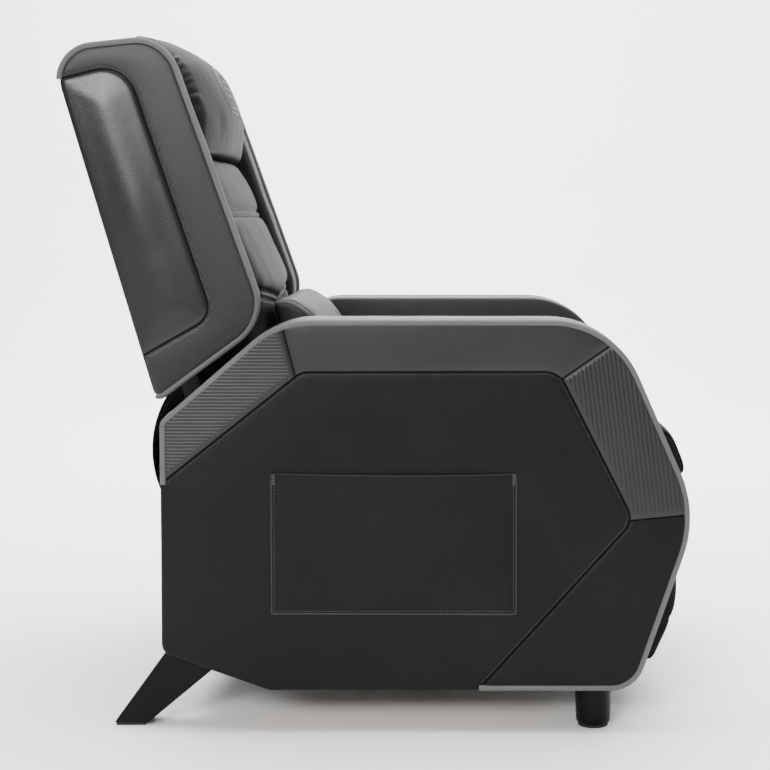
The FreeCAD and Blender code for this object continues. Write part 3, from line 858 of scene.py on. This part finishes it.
def make_arm_pads():
    """Padded strips over the top, front and rear of an arm, between its two faces."""
    low, high = ARM_LOW.y + SIDE_THICK, ARM_INSIDE
    stops = ((-0.250, 0.1004), (-0.3064, 0.4793), (0.4010, 0.5235), (0.3630, BOTTOM))
    spans = (
        ("arm_rear_pad", stops[1], stops[0], 0.003),
        ("arm_top_pad", stops[2], stops[1], 0.0015),
        ("arm_front_pad", stops[3], stops[2], 0.0025))
    for name, start, end, rise in spans:
        path = stretch(ARM_LOOP, start, end, True)
        run = np.arange(len(path)) * 0.004
        swell = 0.25 + 0.75 * shoulder(np.minimum(run, run[-1] - run) + 0.0005, 0.010)
        piece = sweep(f"{name}_cover_right", path, crowned(low, high, rise), ARM, swell=swell)
        ruffle(piece, 0.05, 0.0007, rise * 1000)
        fit_pair(piece, "chassis", (name,))
    inner_path = stretch(ARM_LOOP, stops[3], stops[0], True)
    welt = sweep("arm_inner_welt_right", inner_path, circle(ARM_INSIDE, -0.0008, 0.0022, 10), ARM)
    fit_pair(welt, "chassis")


def make_arm_linings():
    """The padded inner face of an arm."""
    piece = panel("arm_inner_cover_right", ARM_LOOP, padded_height(0.003, 0.012, 0.0022, 0.05),
                  ARM_INSIDE + 0.0035, 0.0032, ARM, sign=1, spacing=(0.010, 0.010))
    fit_pair(piece, "chassis", ("arm_lining",))


def make_pocket():
    """A flat sewn pouch on the outside of an arm, with a hemmed, slightly sagging mouth."""
    low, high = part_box("side_pocket_right")
    left, right, base, mouth = low.x, high.x, low.z, high.z
    outline = rounded([(left, base, 0.004), (right, base - 0.001, 0.004),
                       (right, mouth - 0.001, 0.002), (left, mouth, 0.002)])

    def slack(x):
        """From 0 at the pocket's sides to 1 in its middle."""
        return 1 - ((x - (left + right) / 2) / ((right - left) / 2)) ** 2
    outline[:, 1] -= 0.0030 * slack(outline[:, 0]) * smooth((outline[:, 1] - mouth + 0.02) / 0.02)

    def height(flat, gap):
        x, z = flat.T
        sewn = np.minimum(np.minimum(x - left, right - x), z - base)
        rise = 0.0012 + 0.0030 * shoulder(sewn - 0.004, 0.05)
        open_mouth = 0.0028 * smooth((z - base) / (mouth - base)) * slack(x)
        hem = smooth((z - mouth + 0.019) / 0.003) * 0.0009
        return rise + open_mouth + hem + 0.0006 * uneven(flat, 22, 16, 4.2) * smooth(sewn / 0.03)
    level = 0.4038
    piece = panel("side_pocket_cover_right", outline, height, level, 0, SIDE,
                  spacing=(0.008, 0.006), sheet=0.0018)
    tree = surface_of(piece)
    fit_pair(piece, "chassis", ("side_pocket",))
    inset = 0.0045
    y = -level - 0.006
    edge_row = [(left + inset, y, mouth - 0.004), (left + inset, y, base + inset),
                (right - inset, y, base + inset), (right - inset, y, mouth - 0.004)]
    fit_pair(stitches("pocket_edge_stitches_right", tree, edge_row, THREAD), "chassis")
    binding = sweep("pocket_binding_right", outline, circle(-level - 0.0014, -0.0012, 0.0019, 10), TRIM,
                    closed=True)
    fit_pair(binding, "chassis")
    for number, x in enumerate((left + 0.004, right - 0.004)):
        zigzag = [(x + (0.003 if i % 2 else -0.003), y, mouth - 0.001 - 0.0011 * i) for i in range(16)]
        places, normals = laid_on(tree, zigzag, 0.0003, 0.0012)
        tack = tube(f"pocket_bar_tack_{number}_right", places, 0.0005, THREAD, normal=normals, count=5)
        fit_pair(tack, "chassis")


def make_legs():
    """Turned front legs with softened ends."""
    low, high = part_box("front_leg_right")
    centre = ((low.x + high.x) / 2, (low.y + high.y) / 2)
    profile = [(0.0005, low.z), (0.0215, low.z), (0.0238, low.z + 0.0008), (0.0254, low.z + 0.0028),
               (0.0261, low.z + 0.006), (0.0272, low.z + 0.04), (0.0284, high.z - 0.001),
               (0.0279, high.z), (0.0005, high.z)]
    piece = lathe("front_leg_turned_right", profile, centre, LACQUER)
    fit_pair(piece, "chassis", ("front_leg",))


# ---- back ---------------------------------------------------------------------------------

WING_LEVEL = -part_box("wing_panel_right")[0].y - SEWN_EDGE
WING_THICK = 0.0115         # how thick a wing's outer cover is at its edge
WING_REAR = -0.1154
BACK_REAR = -0.1145         # the rear face of the back, before its cover swells
WING_LOOP = rounded([
    (WING_REAR, 0.124, 0.010), (0.080, 0.194, 0.070), (0.055, 0.645, 0.062), (WING_REAR, 0.676, 0.052)])
WING_SEAM = rounded([
    (WING_REAR, 0.1935, 0), (0.0045, 0.221, 0.034), (-0.0115, 0.627, 0.052), (WING_REAR, 0.6315, 0)],
    closed=False)


def make_wing_covers():
    """The outer face of a wing: a plain centre panel and a carbon-look border round its front."""
    start, end = WING_SEAM[0], WING_SEAM[-1]
    centre = joined(WING_SEAM, stretch(WING_LOOP, end, start, True))
    border = joined(stretch(WING_LOOP, start, end, True), WING_SEAM[::-1])
    inner = panel("wing_centre_panel_right", centre, padded_height(0.0034, 0.010, 0.0045, 0.06),
                  WING_LEVEL, WING_THICK, WING, frame_of=on_back)
    outer = panel("wing_border_right", border, padded_height(0.0034, 0.008, 0.001, 0.03),
                  WING_LEVEL, WING_THICK, CARBON, frame_of=on_back)
    tree = surface_of(outer)
    fit_pair(inner, "backrest", ("wing_panel",))
    fit_pair(outer, "backrest", ())
    for number, offset in enumerate((0.0035, 0.0085)):
        line = WING_SEAM + normals_of(WING_SEAM) * offset
        row = in_space(line, -WING_LEVEL - 0.003, on_back)
        piece = stitches(f"wing_stitches_{number}_right", tree, row, THREAD)
        fit_pair(piece, "backrest")
    path = stretch(WING_LOOP, (WING_REAR, 0.126), end, True)
    piping = sweep("wing_piping_cover_right", path, circle(-WING_LEVEL - 0.0010, 0.0014, 0.0046), PIPE,
                   frame_of=on_back)
    fit_pair(piping, "backrest", ("wing_piping",))


def make_wing_pads():
    """The padded inner part of a wing: front boxing and inner face."""
    low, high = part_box("wing_pad_right")
    piece = cushion("wing_inner_pad_right", WING_LOOP + normals_of(WING_LOOP, True) * 0.0012,
                    low.y + 0.0005, high.y - 0.0035, BOXING, on_back, rounding=0.012, square=(-1,))
    refine(piece)
    piece.data.materials.append(ARM)
    band = low.y + 0.036
    line = in_space(WING_LOOP, band, on_back)
    carve(piece, np.vstack([line, line[:1]]), depth=0.0022, width=0.0022, pull=0.0012, reach=0.012)
    ruffle(piece, 0.06, 0.0012, 3.0)
    for face in piece.data.polygons:
        if face.center.y > band + 0.0004:
            face.material_index = 1
    fit_pair(piece, "backrest", ("wing_pad",))


def across(u, w, half, bend=0.0, count=61):
    """A line across the back at a place of its side view, bent in a shallow V."""
    y = np.linspace(-half, half, count)
    return in_space(np.column_stack([np.full(count, u), w + bend * np.abs(y) / half]), y, on_back)


def sew(piece, name, lines, body, slot, offset=0.006, **cut):
    """Carve seams into a cushion and run a row of stitches beside each."""
    tree = surface_of(piece)
    laid = [laid_on(tree, line)[0] for line in lines]
    for line in laid:
        carve(piece, line, **cut)
    piece.data.update()
    tree = surface_of(piece)
    for number, line in enumerate(laid):
        row, normals = laid_on(tree, line)
        along = np.gradient(row, axis=0)
        side = np.cross(along, normals)
        side /= np.linalg.norm(side, axis=1)[:, None]
        fit(stitches(f"{name}_stitches_{number}", tree, row + side * offset, THREAD), body)


def make_back_cushion():
    """The back cushion: two padded fields, a narrow band between them and a V at the bottom."""
    outline = rounded([(-0.050, 0.036, 0.010), (0.052, 0.036, 0.030), (0.060, 0.185, 0.040),
                       (0.077, 0.245, 0.050), (0.061, 0.362, 0.150), (0.050, 0.466, 0.008),
                       (-0.050, 0.466, 0.010)])
    piece = soft_block("back_cushion", outline, 0.004, SOFT, on_back, 0.014, (
        2.6, 0.009, lambda p: (back_depth(p) < -0.03) | (back_rise(p) > 0.452), 0.008), (0.0, 0.07, 0.012))
    lines = [across(0.09, w, 0.262, bend)
             for w, bend in ((0.378, 0), (0.367, 0), (0.211, 0.028), (0.199, 0.028))]
    sew(piece, "back_cushion", lines, "backrest", "cushion_leather",
        depth=0.0045, width=0.0032, pull=0.0025, reach=0.016)
    ruffle(piece, 0.07, 0.0010, 5.0)
    fit(piece, "backrest", ("back_cushion",))


def make_headrest():
    """The head pillow: a full roll with gathered ends and a plain sewn emblem."""
    outline = rounded([(-0.052, 0.470, 0.008), (0.066, 0.470, 0.014), (0.091, 0.524, 0.060),
                       (0.081, 0.616, 0.060), (0.026, 0.682, 0.060), (-0.052, 0.686, 0.024)])
    piece = soft_block("headrest", outline, 0.003, SOFT, on_back, 0.026, (
        3.2, 0.010, lambda p: (back_depth(p) < -0.03) | (back_rise(p) < 0.474), 0.006),
        (0.0, 0.09, 0.024, 0.012))
    points, normals = read_points(piece), read_points(piece, "normal")
    rise = back_rise(points)
    run = np.arctan2(rise - 0.56, back_depth(points) + 0.01) * 0.11
    pleat = np.array([
        noise.noise(Vector((part * 110, 0.5, 2 if y > 0 else 7))) for part, y in zip(run, points[:, 1])])
    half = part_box("headrest")[1].y
    near_end = np.exp(-((half - 0.018 - np.abs(points[:, 1])) / 0.011) ** 2)
    gathered = smooth((rise - 0.53) / 0.03)
    write_points(piece, points + normals * (0.006 * pleat * near_end * gathered)[:, None])
    ruffle(piece, 0.09, 0.0014, 8.0)
    tree = surface_of(piece)
    fit(piece, "backrest", ("headrest",))
    make_emblem(tree)


def make_emblem(tree):
    """A plain hexagon, outlined twice round three bars, embroidered on the head pillow."""
    shapes = []
    for wide, tall in ((0.072, 0.046), (0.060, 0.037)):
        slope = wide * 0.55
        shapes.append([(wide, 0.0), (slope, tall), (-slope, tall), (-wide, 0.0), (-slope, -tall),
                       (slope, -tall), (wide, 0.0)])
    shapes += [[(-half, w), (half, w)] for half, w in ((0.030, 0.014), (0.030, -0.014), (0.040, 0.0))]
    for number, shape in enumerate(shapes):
        y, w = resample(shape, 0.002).T
        line = in_space(np.column_stack([np.full(len(w), 0.104), 0.582 + w]), y, on_back)
        places, normals = laid_on(tree, line, 0.0003)
        piece = tube(f"headrest_emblem_{number}", places, 0.0016, PALE_THREAD, 0.45, normals)
        fit(piece, "backrest")


def make_lumbar_pillow():
    """The loose lumbar pillow, with boxed ends and twin-stitched end seams."""
    low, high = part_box("lumbar_pillow")
    outline = rounded([(0.082, 0.050, 0.022), (0.142, 0.036, 0.028), (0.162, 0.110, 0.040),
                       (0.138, 0.182, 0.036), (0.112, 0.212, 0.030), (0.078, 0.216, 0.010)])
    piece = soft_block("lumbar_pillow", outline, 0.004, PILLOW, on_back, 0.010,
                       (3.0, 0.006, lambda p: back_depth(p) < 0.0835, 0.008))
    piece.data.materials.append(CARBON)
    ruffle(piece, 0.07, 0.0012, 11.0)
    tree = surface_of(piece)
    rim = outline - normals_of(outline, True) * 0.002
    ends = [in_space(np.vstack([rim, rim[:1]]), y, on_back) for y in (low.y + 0.012, high.y - 0.012)]
    for line in ends:
        carve(piece, laid_on(tree, line)[0], depth=0.003, width=0.0026, pull=0.001, reach=0.01)
    for face in piece.data.polygons:
        if abs(face.center.y) > high.y - 0.0125:
            face.material_index = 1
    tree = surface_of(piece)
    for number, line in enumerate(ends):
        for row, shift in enumerate((-0.004, 0.004)):
            moved = line + np.array((0, shift, 0))
            thread = stitches(f"lumbar_stitches_{number}_{row}", tree, moved, PALE_THREAD, 0.0045, 0.003)
            fit(thread, "backrest")
    fit(piece, "backrest", ("lumbar_pillow",))


def make_back_covers():
    """The padded cover on the rear of the back, with a border round its middle."""
    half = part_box("back_shell")[1].y
    outline = rounded([(-half, 0.124, 0.012), (half, 0.124, 0.012), (half, 0.670, 0.012),
                       (-half, 0.670, 0.012)], 0.005)
    side = half - 0.07
    seam = rounded([(-side, 0.19, 0.03), (side, 0.19, 0.03), (side, 0.61, 0.03),
                    (-side, 0.61, 0.03)], 0.005)
    flat, faces = fill(outline, (0.009, 0.009))
    gap = distance(flat, outline, True)
    valley = distance(flat, seam, True)
    out = 0.003 * (shoulder(gap, 0.012) + smooth(gap / 0.06) - np.exp(-(valley / 0.004) ** 2))
    out += 0.0015 * uneven(flat, 7, 7, 9.1)
    points = in_space(np.column_stack([BACK_REAR - out, flat[:, 1]]), flat[:, 0], on_back)
    piece = make_object("back_rear_cover", points, faces, ARM)
    thick = Vector((math.cos(TILT), 0, math.sin(TILT))) * 0.011
    close_behind(piece, lambda place: place + thick)
    tree = surface_of(piece)
    for number, offset in enumerate((-0.006, 0.006)):
        line = seam + normals_of(seam, True) * offset
        y, w = np.vstack([line, line[:1]]).T
        row = in_space(np.column_stack([np.full(len(w), BACK_REAR - 0.0045), w]), y, on_back)
        fit(stitches(f"back_rear_stitches_{number}", tree, row, THREAD), "backrest")
    fit(piece, "backrest", ("back_shell",))


def cloth_between(name, path, half, folds):
    """A thin cloth across the chair along a side-view path, with soft folds square to it."""
    outwards = normals_of(path)
    across_y = np.linspace(-half, half, 110)
    run = np.linspace(0, 1, len(path))
    points, faces = [], []
    for layer in (0.0, 0.0016):
        for place, out, part in zip(path, outwards, run):
            for y in across_y:
                fold = noise.noise(Vector((y * 16, part * 2.7, 3.3))) * folds
                shift = out * (fold * min(1, (half - abs(y)) / 0.02) - layer)
                points.append((place[0] + shift[0], y, place[1] + shift[1]))
    wide, tall = len(across_y), len(path)
    count = wide * tall
    for i in range(tall - 1):
        for j in range(wide - 1):
            a, b, c, d = i * wide + j, i * wide + j + 1, (i + 1) * wide + j + 1, (i + 1) * wide + j
            faces.append((a, b, c, d))
            faces.append((count + d, count + c, count + b, count + a))
    border = ([j for j in range(wide)] + [i * wide + wide - 1 for i in range(1, tall)]
              + [(tall - 1) * wide + j for j in range(wide - 2, -1, -1)]
              + [i * wide for i in range(tall - 2, 0, -1)])
    for a, b in zip(border, border[1:] + border[:1]):
        faces.append((a, b, count + b, count + a))
    return make_object(name, points, faces, CLOTH)


def make_skirt():
    """The cloth that closes the gap under the back, stretched round a curve with soft folds."""
    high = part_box("back_skirt")[1]
    radius, first, last = 0.1643, 137.0, 266.0
    angles = np.radians(np.linspace(first, last, 92))
    path = np.column_stack([PIVOT[0] + radius * np.cos(angles), PIVOT[2] + radius * np.sin(angles)])
    piece = cloth_between("back_skirt_cloth", path, high.y, 0.0026)
    fit(piece, "backrest", ("back_skirt",))


def make_dust_cloth():
    """The slack cloth under the mechanism, from the rear panel's top to under the seat."""
    half = 0.262
    path = rounded([(-0.3055, 0.266, 0), (-0.280, 0.233, 0.030), (-0.190, 0.222, 0.080),
                    (-0.062, 0.250, 0.040), (-0.045, 0.314, 0)], 0.005, closed=False)
    piece = cloth_between("dust_cloth", path, half, 0.0022)
    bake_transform(piece)


def make_rear_panel():
    """The cloth-covered board at the rear of the chassis."""
    low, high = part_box("rear_panel")
    outline = rounded([(low.y, low.z, 0.004), (high.y, low.z, 0.004), (high.y, high.z, 0.004),
                       (low.y, high.z, 0.004)], 0.005)
    flat, faces = fill(outline, (0.010, 0.010))
    gap = distance(flat, outline, True)
    out = 0.0022 * shoulder(gap, 0.006) + 0.0012 * uneven(flat, 11, 5, 6.6) * smooth(gap / 0.02)
    points = np.column_stack([low.x + 0.0008 - out, flat])
    piece = make_object("rear_panel_cloth", points, faces, CLOTH)
    close_behind(piece, lambda place: (high.x, place.y, place.z))
    fit(piece, "chassis", ("rear_panel",))


# ---- seat and leg rest --------------------------------------------------------------------

def make_seat_cushion():
    """The seat: a deep block with a rolled front, a banded seam and sewn side seams."""
    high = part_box("seat_cushion")[1]
    outline = rounded([
        (-0.138, 0.3545, 0.010), (0.407, 0.3545, 0.004), (0.412, 0.3675, 0.004), (0.482, 0.3675, 0.007),
        (0.486, 0.381, 0.014), (0.467, 0.440, 0.042), (0.396, 0.457, 0.090), (-0.138, 0.449, 0.026)])
    piece = soft_block("seat_cushion", outline, 0.003, SOFT, upright, 0.010,
                       (2.6, 0.009, lambda p: (p[:, 2] < 0.371) | (p[:, 0] < -0.130)))
    lines = [[(x, y, high.z + 0.01) for y in np.linspace(-high.y, high.y, 61)] for x in (0.300, 0.312)]
    side = resample([(-0.13, 0.444), (0.396, 0.450), (0.465, 0.430), (0.483, 0.380)], 0.01)
    lines += [in_space(side, y) for y in (-high.y + 0.004, high.y - 0.004)]
    sew(piece, "seat_cushion", lines, "seat", "cushion_leather",
        depth=0.004, width=0.0032, pull=0.003, reach=0.020)
    ruffle(piece, 0.08, 0.0018, 14.0)
    fit(piece, "seat", ("seat_cushion",))


def make_footrest_pad():
    """The leg rest pad: a thick roll at the hinge and three shallow channels below it."""
    low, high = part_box("footrest_pad")
    outline = rounded([
        (0.4176, 0.308, 0.002), (0.4176, 0.0735, 0.003), (0.4330, 0.0735, 0.012), (0.4650, 0.142, 0.100),
        (0.4770, 0.280, 0.150), (0.4765, 0.357, 0.027), (0.4200, 0.357, 0.027), (0.4200, 0.312, 0.002)])
    piece = soft_block("footrest_pad", outline, -0.0004, SOFT, upright, 0.006, (
        2.0, 0.006, lambda p: (p[:, 0] < 0.4225) | (p[:, 2] > 0.270), 0.01), step=0.0055)
    lines = [[(high.x + 0.01, y, z) for y in np.linspace(low.y, high.y, 61)]
             for z in (0.285, 0.205, 0.130)]
    sew(piece, "footrest", lines, "footrest", "cushion_leather", offset=0.005,
        depth=0.003, width=0.003, pull=0.002, reach=0.016)
    fit(piece, "footrest", ("footrest_pad",))


# ---- stage --------------------------------------------------------------------------------

def make_stage():
    """A pale floor that curves up into a backdrop, and a pale sky."""
    points, faces = [], []
    far = 40.0
    profile = [(-far, 0.0), (3.0, 0.0), (3.6, 0.05), (4.1, 0.2), (4.5, 0.5), (4.75, 0.95),
               (4.85, 1.6), (4.9, 6.0)]
    for y, z in profile:
        points += [(-far, y, z), (far, y, z)]
    for i in range(0, 2 * len(profile) - 2, 2):
        faces.append((i, i + 1, i + 3, i + 2))
    material, tree, shader, place = new_material("floor_paint", 0.7, specular=0.2)
    tint(tree, shader, cloudy(tree, place, 1.3), grey(0.90), grey(0.93))
    make_object("floor", points, faces, material, 180)
    world = bpy.data.worlds.new("Studio")
    bpy.context.scene.world = world
    world.use_nodes = True
    sky = world.node_tree.nodes["Background"].inputs
    sky["Color"].default_value = (1, 1, 1, 1)
    sky["Strength"].default_value = 0.5


def add_light(name, place, target, size, power):
    """A soft rectangular lamp aimed at a point."""
    lamp = bpy.data.lights.new(name, "AREA")
    lamp.shape = "RECTANGLE"
    lamp.size, lamp.size_y = size
    lamp.energy = power
    thing = bpy.data.objects.new(name, lamp)
    thing.location = place
    thing.rotation_euler = (Vector(target) - Vector(place)).to_track_quat("-Z", "Y").to_euler()
    bpy.context.scene.collection.objects.link(thing)


def make_camera():
    """The camera, square to the chair's right side at a little over head-rest height."""
    data = bpy.data.cameras.new("Camera")
    data.lens, data.sensor_width = 77.9, 36
    data.shift_x, data.shift_y = -0.0848, -0.12
    camera = bpy.data.objects.new("Camera", data)
    camera.location = (0.113, -2.8626, 0.7743)
    look_down = 2.6
    camera.rotation_euler = (math.radians(90 - look_down), 0, 0)
    bpy.context.scene.collection.objects.link(camera)
    bpy.context.scene.camera = camera


make_camera()
make_stage()
add_light("Top_light", (0.2, 1.0, 3.4), (0.1, 0.8, 0), (5.0, 5.0), 620)
add_light("Key_light", (-1.15, -4.2, 2.0), (-0.4, -0.4, 0.95), (1.2, 1.0), 170)
add_light("Front_light", (2.6, -1.0, 2.4), (-0.1, 0, 0.8), (1.4, 1.6), 14)
add_light("Backdrop_light", (0, 2.6, 3.2), (0, 4.8, 1.0), (6.0, 1.5), 300)
dress_frame()
make_side_covers()
make_arm_piping()
make_arm_pads()
make_arm_linings()
make_pocket()
make_legs()
make_wing_covers()
make_wing_pads()
make_back_cushion()
make_headrest()
make_lumbar_pillow()
make_back_covers()
make_skirt()
make_rear_panel()
make_dust_cloth()
make_seat_cushion()
make_footrest_pad()
